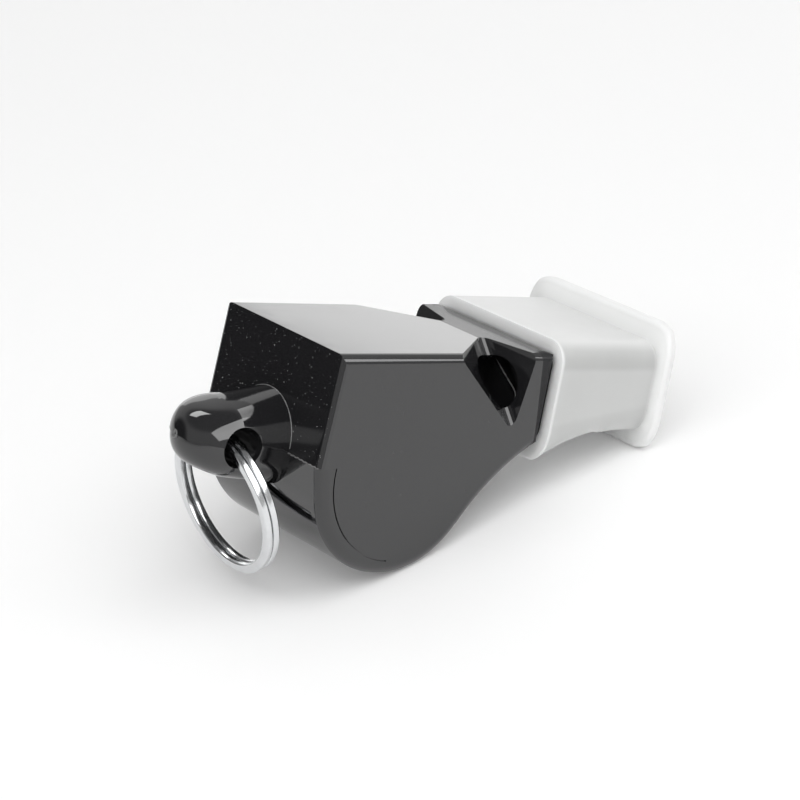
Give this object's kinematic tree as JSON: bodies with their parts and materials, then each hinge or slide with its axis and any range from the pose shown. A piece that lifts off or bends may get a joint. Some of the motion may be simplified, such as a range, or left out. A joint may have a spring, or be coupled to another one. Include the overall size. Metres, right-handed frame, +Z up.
{
  "type": "sports whistle",
  "caption": "Pealess sports whistle: glossy two-part housing with side notches and round windows, a soft push-on mouth grip, and a two-turn split ring in its lanyard lug.",
  "frame": {"origin": "centre of the bottom of the overall box, on the floor under the resting whistle", "axes": "+X to the mouth, +Y to the whistle's left side, +Z up; the whistle rests nose down on its belly and on the lower edge of the lip"},
  "size_m": [0.056, 0.024, 0.0259],
  "materials": {
    "black_plastic": "glossy moulded plastic",
    "soft_grip": "milky soft silicone with a dull sheen",
    "ring_steel": "bright plated spring steel"
  },
  "bodies": {
    "whistle": {"upper_housing": "black_plastic", "lower_housing": "black_plastic"},
    "grip": {"mouth_grip": "soft_grip"},
    "ring": {"split_ring": "ring_steel"}
  },
  "joints": [
    {"name": "ring_swing", "type": "hinge", "parent": "whistle", "child": "ring", "pos_m": [-0.02322, 0, 0.01808], "axis": [0, 1, 0], "range_deg": [-17, 226]},
    {"name": "grip_pull", "type": "slide", "parent": "whistle", "child": "grip", "axis": [0.9244, 0, -0.3815], "range_m": [0, 0.0155]}
  ]
}
